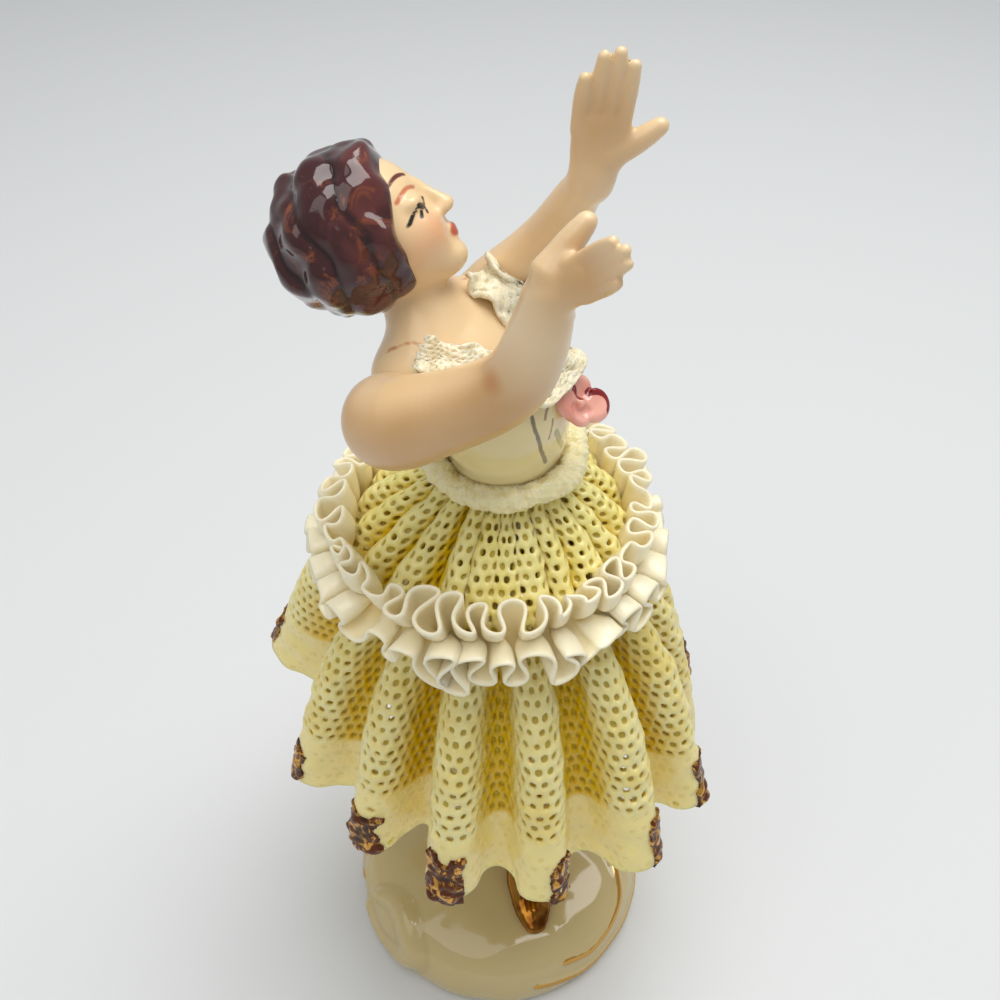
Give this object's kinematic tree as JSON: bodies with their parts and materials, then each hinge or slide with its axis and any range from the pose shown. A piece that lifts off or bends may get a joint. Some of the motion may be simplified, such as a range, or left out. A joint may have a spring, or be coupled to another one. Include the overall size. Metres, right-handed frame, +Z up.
{
  "type": "porcelain lace figurine",
  "caption": "Porcelain dancer with raised arms in a flared skirt of fired lace with a ruffled trim and gilded hem tips, on a low rounded base with relief scrolls.",
  "frame": {"origin": "centre of the base's flat underside", "axes": "+Z up, +X to the figure's left, -Y is the way the bodice faces"},
  "size_m": [0.0429, 0.047, 0.1032],
  "materials": {
    "base_glaze": "gloss",
    "skin_glaze": "satin gloss",
    "arm_glaze": "satin gloss",
    "ivory_lace": "satin, fibrous",
    "rose_glaze": "gloss",
    "yellow_lace": "satin",
    "ruffle_glaze": "gloss"
  },
  "bodies": {
    "root": {"base": "base_glaze", "figure_body": "skin_glaze", "right_arm": "arm_glaze", "left_arm": "arm_glaze", "lace_collar": "ivory_lace", "bodice_flower": "rose_glaze", "waistband": "ivory_lace", "overskirt_lace": "yellow_lace", "ruffle_trim": "ruffle_glaze", "underskirt_lace": "yellow_lace"}
  },
  "joints": []
}
